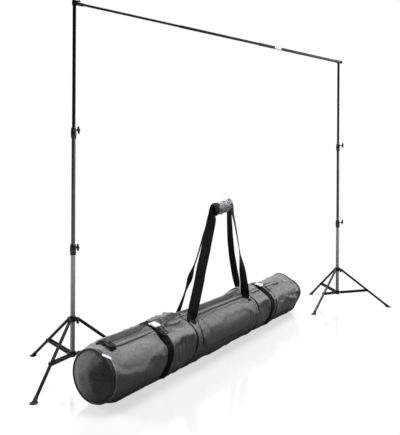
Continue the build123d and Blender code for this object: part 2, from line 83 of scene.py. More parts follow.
class Signal:
    # one output of a node, which can be used in sums
    def __init__(self, finish, socket):
        self.finish = finish
        self.socket = socket

    def maths(self, operation, *values):
        inputs = {i: v for i, v in enumerate(values)}
        return self.finish.add("ShaderNodeMath", {"operation": operation}, inputs)

    def __add__(self, other):
        return self.maths("ADD", self, other)

    def __radd__(self, other):
        return self.maths("ADD", other, self)

    def __sub__(self, other):
        return self.maths("SUBTRACT", self, other)

    def __rsub__(self, other):
        return self.maths("SUBTRACT", other, self)

    def __mul__(self, other):
        return self.maths("MULTIPLY", self, other)

    def __rmul__(self, other):
        return self.maths("MULTIPLY", other, self)

    def __pow__(self, other):
        return self.maths("POWER", self, other)

    def __abs__(self):
        return self.maths("ABSOLUTE", self)

    def wave(self):
        return self.maths("SINE", self)

    def most(self, other):
        return self.maths("MAXIMUM", self, other)

    def between(self, low, high):
        # 0 below low, 1 above high, smooth in between
        settings = {"interpolation_type": "SMOOTHSTEP", "data_type": "FLOAT"}
        inputs = {"Value": self, "From Min": low, "From Max": high}
        return self.finish.add("ShaderNodeMapRange", settings, inputs)


class Board:
    # a node tree under construction, for a material or for the world
    def __init__(self, owner):
        owner.use_nodes = True
        self.tree = owner.node_tree
        self.tree.nodes.clear()

    def add(self, kind, settings=None, inputs=None, output=0):
        node = self.tree.nodes.new(kind)
        for key, value in (settings or {}).items():
            setattr(node, key, value)
        self.join(node, inputs or {})
        return Signal(self, node.outputs[output])

    def join(self, node, inputs):
        for key, value in inputs.items():
            socket = node.inputs[key]
            if isinstance(value, Signal):
                self.tree.links.new(value.socket, socket)
            elif isinstance(value, tuple) and socket.type == "RGBA":
                socket.default_value = (*value, 1.0)
            else:
                socket.default_value = value

    def rays(self, *kinds):
        # 1 for a ray of one of the kinds, such as Camera or Glossy
        path = self.tree.nodes.new("ShaderNodeLightPath")
        found = Signal(self, path.outputs[f"Is {kinds[0]} Ray"])
        for kind in kinds[1:]:
            found = found.most(Signal(self, path.outputs[f"Is {kind} Ray"]))
        return found


class Finish(Board):
    def __init__(self, name):
        self.material = bpy.data.materials.new(name)
        super().__init__(self.material)
        self.output = self.tree.nodes.new("ShaderNodeOutputMaterial")
        self.shader = self.tree.nodes.new("ShaderNodeBsdfPrincipled")
        self.tree.links.new(self.shader.outputs[0], self.output.inputs["Surface"])

    def coordinates(self, stretch=(1, 1, 1), turn=(0, 0, 0), uv=False):
        source = self.add("ShaderNodeTexCoord", output=2 if uv else 3)
        return self.add("ShaderNodeMapping", None, {"Vector": source, "Rotation": turn, "Scale": stretch})

    def parts(self, vector):
        node = self.tree.nodes.new("ShaderNodeSeparateXYZ")
        self.join(node, {0: vector})
        return [Signal(self, socket) for socket in node.outputs]

    def grain(self, vector, scale, detail=3.0, roughness=0.5, distortion=0.0):
        inputs = {"Vector": vector, "Scale": scale, "Detail": detail}
        inputs.update({"Roughness": roughness, "Distortion": distortion})
        return self.add("ShaderNodeTexNoise", None, inputs)

    def blendColours(self, amount, first, second):
        inputs = {0: amount, 6: first, 7: second}
        return self.add("ShaderNodeMix", {"data_type": "RGBA"}, inputs, output=2)

    def bump(self, height, strength, distance):
        inputs = {"Height": height, "Strength": strength, "Distance": distance}
        return self.add("ShaderNodeBump", None, inputs)

    def surface(self, **sockets):
        names = {key.replace("_", " "): value for key, value in sockets.items()}
        self.join(self.shader, names)
        return self.material


def grey(value):
    return (value, value, value * 1.02)


def tubeFinish(name, colour, roughness, metallic=0.0, specular=0.3, alongX=False):
    f = Finish(name)
    lines = f.coordinates(stretch=(2, 900, 900) if alongX else (900, 900, 2))
    drawn = f.grain(lines, 1.0, 2.0)
    marks = f.grain(f.coordinates(), 38.0, 5.0, 0.6)
    cloud = f.grain(f.coordinates(), 4.0, 2.0)
    rubbed = marks.between(0.66, 0.74) * 0.25
    base = f.blendColours(rubbed, grey(colour), grey(colour * 1.6 + 0.004))
    sheen = roughness + 0.08 * (drawn - 0.5) + 0.10 * (cloud - 0.5)
    return f.surface(Base_Color=base, Roughness=sheen, Metallic=metallic, Specular_IOR_Level=specular,
                     Normal=f.bump(drawn, 0.12, 0.0004))


def mouldedFinish(name, colour, roughness, grainSize=900.0, depth=0.25, specular=0.35):
    f = Finish(name)
    place = f.coordinates()
    fine = f.grain(place, grainSize, 2.0)
    broad = f.grain(place, 60.0, 4.0, 0.6)
    wear = broad.between(0.6, 0.75) * 0.3
    base = f.blendColours(wear, grey(colour), grey(colour * 1.6 + 0.005))
    sheen = roughness + 0.15 * (broad - 0.5)
    return f.surface(Base_Color=base, Roughness=sheen, Specular_IOR_Level=specular,
                     Normal=f.bump(fine, depth, 0.0003))


def steelFinish(name, colour, roughness):
    f = Finish(name)
    turned = f.grain(f.coordinates(stretch=(400, 400, 400)), 1.0, 3.0)
    stain = f.grain(f.coordinates(), 90.0, 3.0)
    base = f.blendColours(stain, grey(colour * 0.75), grey(colour))
    return f.surface(Base_Color=base, Roughness=roughness + 0.15 * (turned - 0.5), Metallic=1.0,
                     Normal=f.bump(turned, 0.1, 0.0002))


def paintedFinish(name, colour, roughness):
    f = Finish(name)
    peel = f.grain(f.coordinates(), 420.0, 2.0)
    chips = f.grain(f.coordinates(), 150.0, 5.0, 0.7)
    bare = chips.between(0.76, 0.79)
    base = f.blendColours(bare, grey(colour), grey(0.35))
    return f.surface(Base_Color=base, Roughness=roughness - 0.1 * bare, Metallic=0.85 * bare,
                     Specular_IOR_Level=0.2, Normal=f.bump(peel, 0.15, 0.0003))


def rubberFinish(name, colour):
    f = Finish(name)
    pebble = f.grain(f.coordinates(), 700.0, 3.0)
    dust = f.grain(f.coordinates(), 45.0, 5.0, 0.65)
    base = f.blendColours(dust.between(0.5, 0.75) * 0.5, grey(colour), grey(colour * 2.4 + 0.02))
    return f.surface(Base_Color=base, Roughness=0.72 + 0.2 * (dust - 0.5), Specular_IOR_Level=0.35,
                     Normal=f.bump(pebble, 0.35, 0.0004))


finishes = {
    # the lower and middle tubes are black like the upper one; their paler metal colours are painted
    # reflection, brighter on the lower tube than on the middle
    "lowerTube": tubeFinish("lowerTubePaintedReflection", 0.30, 0.30, metallic=1.0),
    "middleTube": tubeFinish("middleTubePaintedReflection", 0.10, 0.32, metallic=1.0),
    "upperTube": tubeFinish("anodisedUpperTube", 0.006, 0.38, specular=0.2),
    "barTube": tubeFinish("anodisedBar", 0.006, 0.38, specular=0.2, alongX=True),
    "leg": tubeFinish("anodisedLeg", 0.006, 0.36, specular=0.2),
    "lock": mouldedFinish("nylonLock", 0.03, 0.5),
    "casting": mouldedFinish("nylonCasting", 0.008, 0.36, specular=0.25),
    "clamp": mouldedFinish("nylonClamp", 0.010, 0.22, 700.0, 0.15, specular=0.5),
    "fitting": mouldedFinish("nylonFitting", 0.008, 0.34, specular=0.25),
    "knob": mouldedFinish("nylonKnob", 0.012, 0.3, 700.0, 0.2, specular=0.3),
    "screw": mouldedFinish("nylonScrewHead", 0.010, 0.34),
    "brace": paintedFinish("paintedBrace", 0.007, 0.42),
    "rivet": steelFinish("platedRivet", 0.35, 0.30),
    "foot": rubberFinish("rubberFoot", 0.010),
}


# the first entry found in a piece's name gives its finish
finishByName = {
    "_pins": "rivet",
    "_end_fitting": "fitting",
    "_end_screw": "screw",
    "_knob": "knob",
    "_clamp": "clamp",
    "_leg_hub": "casting",
    "_base_collar": "casting",
    "_brace_": "brace",
    "_foot_": "foot",
    "_leg_": "leg",
    "_lower_tube": "lowerTube",
    "_middle_tube": "middleTube",
    "_upper_tube": "upperTube",
}


def finishFor(node):
    if node.startswith("bar_"):
        return "barTube" if node.endswith("_tube") else "lock"
    return next(finish for part, finish in finishByName.items() if part in node)


for node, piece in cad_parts.items():
    if node.startswith("bag_"):
        continue
    material = finishes[finishFor(node)]
    if piece.data.materials:
        for i in range(len(piece.data.materials)):
            piece.data.materials[i] = material
    else:
        piece.data.materials.append(material)
print("finishes laid on the stands and the crossbar")


def pieceFrom(mesh, name, material, body):
    data = bpy.data.meshes.new(name)
    mesh.to_mesh(data)
    mesh.free()
    data.polygons.foreach_set("use_smooth", [True] * len(data.polygons))
    data.materials.append(material)
    piece = bpy.data.objects.new(name, data)
    bpy.context.scene.collection.objects.link(piece)
    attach(piece, body)
    return piece


# the label on the crossbar, left blank
label = {"from": 1.612, "length": 0.072, "lift": 0.00025, "segments": 64}


def labelFinish():
    f = Finish("silverLabel")
    brushed = f.grain(f.coordinates(stretch=(60, 500, 500)), 1.0, 3.0)
    scuffs = f.grain(f.coordinates(), 220.0, 4.0, 0.7).between(0.62, 0.7)
    base = f.blendColours(scuffs * 0.4, grey(0.78), grey(0.5))
    return f.surface(Base_Color=base, Roughness=0.34 + 0.2 * (brushed - 0.5), Metallic=0.35,
                     Normal=f.bump(brushed, 0.08, 0.0002))


def makeLabel():
    low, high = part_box("bar_large_tube")
    radius = (high[2] - low[2]) / 2 + label["lift"]
    middle = middleOf("bar_large_tube")
    mesh = bmesh.new()
    size = {"radius1": radius, "radius2": radius, "depth": label["length"]}
    bmesh.ops.create_cone(mesh, cap_ends=False, segments=label["segments"], **size)
    bmesh.ops.rotate(mesh, cent=(0, 0, 0), matrix=Matrix.Rotation(pi / 2, 3, "Y"), verts=mesh.verts)
    start = leftAxis.x + label["from"]
    bmesh.ops.translate(mesh, vec=(start + label["length"] / 2, middle.y, middle.z), verts=mesh.verts)
    pieceFrom(mesh, "barLabel", labelFinish(), "bar_outer")


makeLabel()
print("label made")

# the carry bag: places are metres from its near end, angles are degrees from its top towards the front
bag = {
    "nearEnd": (-0.1396, -0.4523),  # from the left stand's axis
    "heading": 16.7,
    "axisHeight": 0.142,
    "length": 2.150,
    "girth": 0.148,
    "nearGirth": 0.128,
    "farGirth": 0.138,
    "capRound": 0.024,
    "shoulder": 0.096,
    "underside": 0.0012,
    "strapPlaces": (0.070, 0.420, 1.640),
    "strapPinch": 0.007,
    "ringSeams": (0.668, 1.425, 1.700),
    "seamPinch": 0.0028,
    "squared": 0.0065,
    "shoulderAngle": 72,
    "zipAngle": 22,
    "zipEnds": (0.050, 1.93),
    "zipGroove": 0.0022,
    "skinColumns": 358,
    "skinRows": 144,
}
bagTurn = radians(bag["heading"])
alongBag = Vector((cos(bagTurn), sin(bagTurn), 0))
behindBag = Vector((-sin(bagTurn), cos(bagTurn), 0))
bagStart = leftAxis + Vector((*bag["nearEnd"], bag["axisHeight"]))


def smooth(value, low, high):
    t = min(1.0, max(0.0, (value - low) / (high - low)))
    return t * t * (3 - 2 * t)


def bell(value, middle, width):
    return exp(-((value - middle) / width) ** 2)


def girthAt(s):
    # the radius along the bag, rounded in at both ends
    length, full, knee = bag["length"], bag["girth"], bag["capRound"]
    if s < length / 2:
        small, inward = bag["nearGirth"], s
    else:
        small, inward = bag["farGirth"], length - s
    if inward < knee:
        return small - knee + sqrt(max(0.0, knee**2 - (knee - inward) ** 2))
    ease = smooth(inward, knee - 0.02, bag["shoulder"])
    straight = min(1.0, (inward - knee) / (bag["shoulder"] - knee))
    return small + (full - small) * (0.5 * ease + 0.5 * straight)


pocket = {
    "low": 0.720,
    "high": 1.390,
    "top": 30,
    "bottom": 112,
    "corner": 0.10,
    "rise": 0.0050,
    "seamDepth": 0.0020,
    "piping": 0.0028,
    "zipWidth": 0.024,
}


def pocketDepth(s, angle):
    # distance inside the pocket's outline, in metres
    corner = pocket["corner"]
    middleS = (pocket["low"] + pocket["high"]) / 2
    middleA = (pocket["top"] + pocket["bottom"]) / 2
    halfS = (pocket["high"] - pocket["low"]) / 2
    halfA = radians(pocket["bottom"] - pocket["top"]) / 2 * bag["girth"]
    ds = abs(s - middleS) - halfS + corner
    da = abs(radians(angle - middleA)) * bag["girth"] - halfA + corner
    outside = hypot(max(ds, 0), max(da, 0)) + min(max(ds, da), 0)
    return corner - outside


def ridge(value):
    return 1 - abs(value)


folds = {
    "broad": 0.0055,
    "ring": 0.0068,
    "fine": 0.0009,
    "spokes": 0.0034,
    "lengthwise": 0.0042,
    "calmEnd": 0.4,  # how much of the broad folds the tightly drawn near end keeps
    "calmUntil": (0.30, 0.48),
    "shear": 0.035,
    # where ring folds gather: strength, place and reach
    "gathers": ((1.4, 0.56, 0.11), (0.5, 1.52, 0.16), (0.35, 1.90, 0.15), (0.22, 0.30, 0.08)),
    "strapPucker": 0.030,
    "seamPucker": 0.018,
    "slackAngle": (-16, 34),
}


def wrinkle(s, angle):
    # how far the folds raise the cloth or let it sink
    a = radians(angle)
    around = Vector((cos(a), sin(a), 0))
    broad = noise.noise(Vector((s * 5.0, around.x * 1.1, around.y * 1.1)))
    shear = s + folds["shear"] * sin(a + 1.0)
    busy = 0.25 * smooth(s, 0.25, 0.45)
    for strength, place, reach in folds["gathers"]:
        busy += strength * bell(s, place, reach)
    ring = noise.noise(Vector((shear * 30, around.x * 0.8 + 7, around.y * 0.8)))
    fine = noise.noise(Vector((shear * 75 + 3, around.x * 2.2, around.y * 2.2 + 5)))
    pucker = sum(exp(-abs(s - place) / folds["strapPucker"]) for place in bag["strapPlaces"][1:])
    pucker += 0.6 * sum(exp(-abs(s - place) / folds["seamPucker"]) for place in bag["ringSeams"])
    spokes = noise.noise(Vector((s * 6, around.x * 7.5, around.y * 7.5)))
    sag = 0.5 + 0.2 * bell(s, 0.24, 0.14) + 0.6 * bell(s, 0.58, 0.10)
    slack = bell(angle, *folds["slackAngle"]) * sag
    loose = folds["calmEnd"] + (1 - folds["calmEnd"]) * smooth(s, *folds["calmUntil"])
    lengthwise = noise.noise(Vector((s * 4.5 + angle / 60, angle / 7.5, 4.0)))
    return (
        folds["broad"] * broad * loose
        + folds["ring"] * busy * (ridge(ring) ** 3 - 0.4)
        + folds["fine"] * busy * fine
        + folds["spokes"] * min(pucker, 1.2) * spokes
        + folds["lengthwise"] * slack * (ridge(lengthwise) ** 2 - 0.6)
    )


def onBag(s, angle, radius):
    a = radians(angle)
    place = bagStart + alongBag * s - behindBag * (radius * sin(a)) + up * (radius * cos(a))
    place.z = max(place.z, bag["underside"])
    return place


def tautRadius(s):
    # the padded shell drawn in by its straps and seams, before it is filled
    radius = girthAt(s)
    for place in bag["strapPlaces"][1:]:
        radius -= bag["strapPinch"] * bell(s, place, 0.034)
    for place in bag["ringSeams"]:
        radius -= bag["seamPinch"] * bell(s, place, 0.0055)
    return radius


padding = {
    "columns": 210,
    "rows": 90,
    "frames": 20,
    "pressure": 4.0,
    "slack": 0.035,
    "stiffness": 18,
    "bending": 2.5,
    "most": 0.016,
    # how much of the filling shows at the near end, which is drawn tight, and below
    "nearShare": 0.45,
    "belowShare": 0.35,
}


def sewnDown(s, angle):
    # 1 where the cloth is held: at ends, straps, seams, zips and on the floor
    held = min(s, bag["length"] - s) < 0.020
    held = held or any(abs(s - place) < 0.026 for place in bag["strapPlaces"][1:])
    held = held or any(abs(s - place) < 0.006 for place in bag["ringSeams"])
    held = held or abs(angle - bag["zipAngle"]) < 3 and s < bag["zipEnds"][1] + 0.02
    held = held or abs(pocketDepth(s, angle)) < 0.006 or abs(angle) > 163
    return 1.0 if held else 0.0


def fillBag():
    # inflates a coarse shell between its seams and keeps how far each point moved outwards
    columns, rows = padding["columns"], padding["rows"]
    moved = [[0.0] * rows for i in range(columns + 1)]
    length = bag["length"]

    def lay(u, v):
        return onBag(u * length, v * 360 - 180, tautRadius(u * length))

    mesh = clothGrid(columns, rows, lay, (1, 1), True)
    data = bpy.data.meshes.new("bagShell")
    mesh.to_mesh(data)
    mesh.free()
    shell = bpy.data.objects.new("bagShell", data)
    bpy.context.scene.collection.objects.link(shell)
    pins = shell.vertex_groups.new(name="sewn")
    where = []
    for vert in data.vertices:
        offset = vert.co - bagStart
        s = offset.dot(alongBag)
        angle = degrees(atan2(-offset.dot(behindBag), offset.z))
        where.append((s, angle))
        pins.add([vert.index], sewnDown(s, angle), "REPLACE")
    cloth = shell.modifiers.new("filling", "CLOTH")
    settings = cloth.settings
    settings.quality = 5
    settings.mass = 0.25
    settings.tension_stiffness = padding["stiffness"]
    settings.compression_stiffness = padding["stiffness"]
    settings.shear_stiffness = 6
    settings.bending_stiffness = padding["bending"]
    settings.air_damping = 2
    settings.use_pressure = True
    settings.uniform_pressure_force = padding["pressure"]
    settings.shrink_min = -padding["slack"]
    settings.vertex_group_mass = "sewn"
    settings.effector_weights.gravity = 0
    cloth.point_cache.frame_start = 1
    cloth.point_cache.frame_end = padding["frames"]
    start = [vert.co.copy() for vert in data.vertices]
    for frameNumber in range(1, padding["frames"] + 1):
        bpy.context.scene.frame_set(frameNumber)
    filled = shell.evaluated_get(bpy.context.evaluated_depsgraph_get())
    for (s, angle), before, vert in zip(where, start, filled.data.vertices):
        way = vert.co - before
        if way.length > padding["most"]:
            way *= padding["most"] / way.length
        a = radians(angle)
        outward = up * cos(a) - behindBag * sin(a)
        column = min(columns, max(0, round(s / length * columns)))
        moved[column][round((angle + 180) / 360 * rows) % rows] = way.dot(outward)
    bpy.context.scene.frame_set(1)
    bpy.data.objects.remove(shell)
    bpy.data.meshes.remove(data)
    return moved


def spread(before, near, far, after, t):
    # a smooth curve through four even steps, between the middle two
    slope, nextSlope = (far - before) / 2, (after - near) / 2
    cubic = 2 * (near - far) + slope + nextSlope
    return near + t * (slope + t * (3 * (far - near) - 2 * slope - nextSlope + t * cubic))


def filledOut(s, angle):
    columns, rows = padding["columns"], padding["rows"]
    x = s / bag["length"] * columns
    y = (angle + 180) / 360 * rows
    column, row = floor(x), floor(y)
    lines = []
    for i in range(column - 1, column + 3):
        line = filling[min(columns, max(0, i))]
        near = [line[(row + k) % rows] for k in (-1, 0, 1, 2)]
        lines.append(spread(*near, y - row))
    return spread(*lines, x - column)


def skinRadius(s, angle):
    depth = pocketDepth(s, angle)
    calm = 1 - 0.6 * smooth(depth, 0.0, 0.03)
    firm = padding["nearShare"] + (1 - padding["nearShare"]) * smooth(s, 0.32, 0.50)
    below = 1 - (1 - padding["belowShare"]) * smooth(abs(angle), 75, 120)
    radius = tautRadius(s) + filledOut(s, angle) * firm * calm * below
    edge = smooth(min(s, bag["length"] - s), 0.02, 0.10)
    radius += wrinkle(s, angle) * edge * calm
    radius += pocket["rise"] * smooth(depth, -0.002, 0.012) - pocket["seamDepth"] * bell(depth, 0.0, 0.005)
    zipped = radians(angle - bag["zipAngle"]) * bag["girth"]
    if s < bag["zipEnds"][1] + 0.04:
        radius -= bag["zipGroove"] * bell(zipped, 0, 0.009)
    squared = bag["squared"] * (smooth(s, 0.02, 0.14) + 0.6 * smooth(s, 1.75, 2.10))
    return radius + squared * cos(radians(4 * (angle - bag["shoulderAngle"])))


def skin(s, angle, lift=0.0):
    # a point on the skin; where the bag lies on the floor the lift goes down instead
    place = onBag(s, angle, skinRadius(s, angle) + lift)
    if place.z <= bag["underside"]:
        place.z = max(0.0002, bag["underside"] - lift)
    return place


def clothGrid(columns, rows, placeOf, size, closed=False, thickness=0.0):
    # a grid whose points are laid by placeOf(u, v); size is its real length and width for the weave
    mesh = bmesh.new()
    mesh.loops.layers.uv.new("weave")
    bmesh.ops.create_grid(mesh, x_segments=columns, y_segments=rows, size=0.5, calc_uvs=True)
    weave = mesh.loops.layers.uv.active
    for face in mesh.faces:
        for loop in face.loops:
            loop[weave].uv = ((loop.vert.co.x + 0.5) * size[0], (loop.vert.co.y + 0.5) * size[1])
    for vert in mesh.verts:
        vert.co = placeOf(vert.co.x + 0.5, vert.co.y + 0.5)
    if closed:
        bmesh.ops.remove_doubles(mesh, verts=mesh.verts, dist=1e-6)
    if thickness:
        bmesh.ops.solidify(mesh, geom=mesh.faces[:], thickness=thickness)
    return mesh


def weaveHeight(f, place, pitch):
    u, v = f.parts(place)[:2]
    warp = (u * (2 * pi / pitch)).wave()
    weft = (v * (2 * pi / pitch)).wave()
    return warp * weft


def clothFinish(name, colour, lighter, pitch, rough, sheen, slubs=0.5, specular=0.4):
    f = Finish(name)
    place = f.coordinates(uv=True)
    threads = weaveHeight(f, place, pitch)
    slub = f.grain(f.coordinates(stretch=(60, 900, 1), uv=True), 1.0, 2.0)
    stain = f.grain(f.coordinates(), 5.0, 5.0, 0.6)
    crumple = f.grain(f.coordinates(stretch=(1.6, 1, 1)), 34.0, 5.0, 0.62, 0.6)
    speckle = f.grain(f.coordinates(stretch=(1, 1, 1.8)), 70.0, 4.0, 0.75)
    mixed = 0.5 + 0.18 * threads + slubs * (slub - 0.5) + 0.7 * (stain - 0.5) + 0.5 * (crumple - 0.5)
    mixed = mixed + 3.0 * (speckle - 0.5)
    base = f.blendColours(mixed, grey(colour), grey(lighter))
    height = threads * 0.12 + crumple + 0.25 * speckle
    return f.surface(Base_Color=base, Roughness=rough + 0.12 * (stain - 0.5), Specular_IOR_Level=specular,
                     Sheen_Weight=sheen, Sheen_Roughness=0.4, Normal=f.bump(height, 0.5, 0.004))


def gripFinish(name):
    # quilted pale wrap with large dark blots; its creases are only in the bump
    f = Finish(name)
    place = f.coordinates(uv=True)
    threads = weaveHeight(f, place, 0.0022)
    blot = f.grain(f.coordinates(), 60.0, 5.0, 0.65, 0.8)
    crease = f.grain(f.coordinates(stretch=(1, 1, 2.5)), 26.0, 4.0, 0.6, 1.2)
    # darkens the wrap in large random blots
    darkBlots = blot.between(0.50, 0.60) * 0.9 + 0.08 * threads
    base = f.blendColours(darkBlots, grey(0.64), grey(0.04))
    return f.surface(Base_Color=base, Roughness=0.75 + 0.1 * (blot - 0.5), Specular_IOR_Level=0.25,
                     Normal=f.bump(crease + 0.1 * threads, 0.8, 0.006))


def webbingFinish(name, colour, lighter):
    f = Finish(name)
    u, v = f.parts(f.coordinates(uv=True))[:2]
    ribs = abs((v * (pi / 0.0022)).wave())
    picks = ((u + abs((v * (pi / 0.0044)).wave()) * 0.001) * (2 * pi / 0.0016)).wave()
    fuzz = f.grain(f.coordinates(uv=True), 900.0, 3.0)
    base = f.blendColours(0.35 * ribs + 0.25 * picks + 0.6 * (fuzz - 0.3), grey(colour), grey(lighter))
    return f.surface(Base_Color=base, Roughness=0.62 + 0.15 * (fuzz - 0.5), Specular_IOR_Level=0.05,
                     Sheen_Weight=0.03, Sheen_Roughness=0.4,
                     Normal=f.bump(ribs * 0.8 + picks * 0.4, 0.6, 0.0006))


def zipFinish(name, colour):
    # the coil runs 14 mm in from one edge of the tape
    f = Finish(name)
    u, v = f.parts(f.coordinates(uv=True))[:2]
    across = abs(v - 0.014)
    coil = across.between(0.0045, 0.0035)
    teeth = (u * (2 * pi / 0.0016)).wave() * coil
    edge = across.between(0.009, 0.012)
    threads = weaveHeight(f, f.coordinates(uv=True), 0.0009)
    base = f.blendColours(0.6 * coil + 0.2 * edge + 0.15 * threads, grey(colour), grey(colour * 3 + 0.02))
    return f.surface(Base_Color=base, Roughness=0.62 - 0.3 * coil,
                     Normal=f.bump(coil * 1.0 + teeth * 0.6, 0.7, 0.0008))


cloths = {
    "bag": clothFinish("bagNylon", 0.074, 0.146, 0.0011, 0.44, 0.02, 0.5, 0.60),
    "cap": clothFinish("capNylon", 0.08, 0.15, 0.0011, 0.44, 0.02, 0.3, 0.12),
    "flap": clothFinish("flapNylon", 0.014, 0.050, 0.0011, 0.60, 0.0, 0.5, 0.15),
    "grip": gripFinish("gripWrap"),
    "cuff": clothFinish("gripCuff", 0.004, 0.012, 0.0022, 0.7, 0.03, 0.3, 0.15),
    "binding": webbingFinish("edgeBinding", 0.006, 0.016),
    "webbing": webbingFinish("strapWebbing", 0.003, 0.008),
    "zip": zipFinish("zipTape", 0.065),
    "piping": clothFinish("pipingCover", 0.006, 0.020, 0.0011, 0.42, 0.03, 0.5, 0.25),
    "softPiping": clothFinish("rimCover", 0.06, 0.13, 0.0011, 0.42, 0.03, 0.5, 0.25),
    # a pale piping cover: painted highlight
    "pipingPaintedHighlight": clothFinish("pipingPaintedHighlight", 0.35, 0.6, 0.0011, 0.38, 0.2),
    "buckle": mouldedFinish("acetalBuckle", 0.006, 0.28, 900.0, 0.12),
    # the pale buckle colour is a painted highlight of the lamp on a black buckle
    "paintedHighlightBuckle": mouldedFinish("acetalBucklePaintedHighlight", 0.74, 0.3, 900.0, 0.1),
    "zipMetal": paintedFinish("lacqueredZip", 0.03, 0.25),
}


def makeBagSkin():
    length = bag["length"]

    def lay(u, v):
        return skin(0.001 + u * (length - 0.002), v * 360 - 180)

    size = (length, 2 * pi * bag["girth"])
    mesh = clothGrid(bag["skinColumns"], bag["skinRows"], lay, size, True)
    piece = pieceFrom(mesh, "bagSkin", cloths["bag"], "bag")
    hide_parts("bag_body")


def disc(u, v):
    # the unit square spread over the unit disc
    x, y = 2 * u - 1, 2 * v - 1
    return x * sqrt(1 - y * y / 2), y * sqrt(1 - x * x / 2)


caps = {
    "near": {"name": "bagCapNear", "at": 0.004, "outward": -1, "bulge": 0.040},
    "far": {"name": "bagCapFar", "at": bag["length"] - 0.004, "outward": 1, "bulge": 0.004},
}


def makeCap(name, s, outward, bulge):
    def lay(u, v):
        x, y = disc(u, v)
        reach = min(1.0, hypot(x, y))
        angle = degrees(atan2(x, y))
        radius = reach * (skinRadius(s, angle) + 0.001)
        dent = noise.noise(Vector((x * 1.6, y * 1.6, s + 3))) * 0.006
        dent += noise.noise(Vector((x * 4, y * 4, s))) * 0.0015
        swell = bulge * (1 - reach**2.2) + dent * (1 - reach**2)
        return onBag(s + outward * swell, angle, radius)

    mesh = clothGrid(56, 56, lay, (0.25, 0.25))
    pieceFrom(mesh, name, cloths["cap"], "bag")


def ringBand(name, s, width, lift, thickness, cloth, slot, fromAngle=-180, toAngle=180, wave=0.0, sides=4):
    # a flat band round the bag, or part of the way round
    turn = toAngle - fromAngle

    def lay(u, v):
        angle = fromAngle + u * turn
        wander = wave * noise.noise(Vector((angle / 40, s * 9, 1.5)))
        rounded = lift - 0.25 * thickness * (2 * v - 1) ** 4
        return skin(s + wander + (v - 0.5) * width, angle, rounded)

    length = radians(turn) * bag["girth"]
    columns = max(8, int(abs(turn) / 2.5))
    mesh = clothGrid(columns, sides, lay, (length, width), abs(turn) >= 360, thickness)
    return pieceFrom(mesh, name, cloths[cloth], "bag")


def routeBand(name, points, width, lift, thickness, cloth):
    # a tape along a smooth route of (s, angle) points on the bag
    step = 0.008
    curve = smoothRoute(points, step)

    def lay(u, v):
        i = min(int(round(u * (len(curve) - 1))), len(curve) - 1)
        s, angle = curve[i]
        before, after = curve[max(0, i - 1)], curve[min(len(curve) - 1, i + 1)]
        ds = after[0] - before[0]
        da = radians(after[1] - before[1]) * bag["girth"]
        run = hypot(ds, da)
        side = (v - 0.5) * width
        rounded = lift - 0.2 * thickness * (2 * v - 1) ** 4
        return skin(s - da / run * side, angle + degrees(ds / run * side / bag["girth"]), rounded)

    mesh = clothGrid(len(curve) - 1, 4, lay, (step * (len(curve) - 1), width), False, thickness)
    pieceFrom(mesh, name, cloths[cloth], "bag")


def smoothRoute(points, step, closed=False):
    # even steps along a spline through the points, in s and degrees
    data = bpy.data.curves.new("route", "CURVE")
    data.dimensions = "3D"
    data.resolution_u = 24
    spline = data.splines.new("BEZIER")
    spline.bezier_points.add(len(points) - 1)
    for knot, (s, angle) in zip(spline.bezier_points, points):
        knot.co = (s, radians(angle) * bag["girth"], 0)
        knot.handle_left_type = knot.handle_right_type = "AUTO"
    spline.use_cyclic_u = closed
    holder = bpy.data.objects.new("route", data)
    mesh = bpy.data.meshes.new_from_object(holder)
    dense = [vert.co.copy() for vert in mesh.vertices]
    if closed:
        dense.append(dense[0].copy())
    bpy.data.objects.remove(holder)
    bpy.data.meshes.remove(mesh)
    bpy.data.curves.remove(data)
    total = sum((b - a).length for a, b in zip(dense, dense[1:]))
    count = max(2, int(total / step))
    even, walked, i = [], 0.0, 0
    for k in range(count + 1):
        target = total * k / count
        while i < len(dense) - 2 and walked + (dense[i + 1] - dense[i]).length < target:
            walked += (dense[i + 1] - dense[i]).length
            i += 1
        piece = (dense[i + 1] - dense[i]).length or 1e-9
        point = dense[i].lerp(dense[i + 1], min(1.0, (target - walked) / piece))
        even.append((point.x, degrees(point.y / bag["girth"])))
    return even


def pipe(name, places, radius, cloth, closed=False):
    # a round cord through places on the bag, kept above the floor
    data = bpy.data.curves.new(name, "CURVE")
    data.dimensions = "3D"
    data.bevel_depth = radius
    data.bevel_resolution = 2
    data.use_fill_caps = True
    spline = data.splines.new("POLY")
    spline.points.add(len(places) - 1)
    for knot, place in zip(spline.points, places):
        knot.co = (place.x, place.y, max(place.z, radius), 1)
    spline.use_cyclic_u = closed
    holder = bpy.data.objects.new(name, data)
    mesh = bmesh.new()
    solid = bpy.data.meshes.new_from_object(holder)
    mesh.from_mesh(solid)
    mesh.loops.layers.uv.verify()
    bpy.data.objects.remove(holder)
    bpy.data.meshes.remove(solid)
    return pieceFrom(mesh, name, cloths[cloth], "bag")


filling = fillBag()
print("bag filled")
makeBagSkin()
for cap in caps.values():
    makeCap(cap["name"], cap["at"], cap["outward"], cap["bulge"])

# rim pipings: place, where the skin below is measured, lift, angles, radius and cloth
pipings = {
    "bagPipingNear": (0.006, 0.012, 0.0005, (-180, 180), 0.0045, "softPiping"),
    "bagPipingFar": (bag["length"] - 0.010, bag["length"] - 0.014, 0.001, (-180, 180), 0.0070, "piping"),
    # the front piping is a dark cord round the front half of the near rim only: painted shade on the rim's
    # shaded side
    "bagPipingFrontPaintedShade": (0.0105, 0.014, 0.0018, (12, 170), 0.0044, "piping"),
}
for name, (place, measured, lift, turn, radius, cloth) in pipings.items():
    rim = [onBag(place, angle, skinRadius(measured, angle) + lift) for angle in range(*turn, 3)]
    piece = pipe(name, rim, radius, cloth, closed=turn == (-180, 180))
    if name == "bagPipingNear":
        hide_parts("bag_piping")
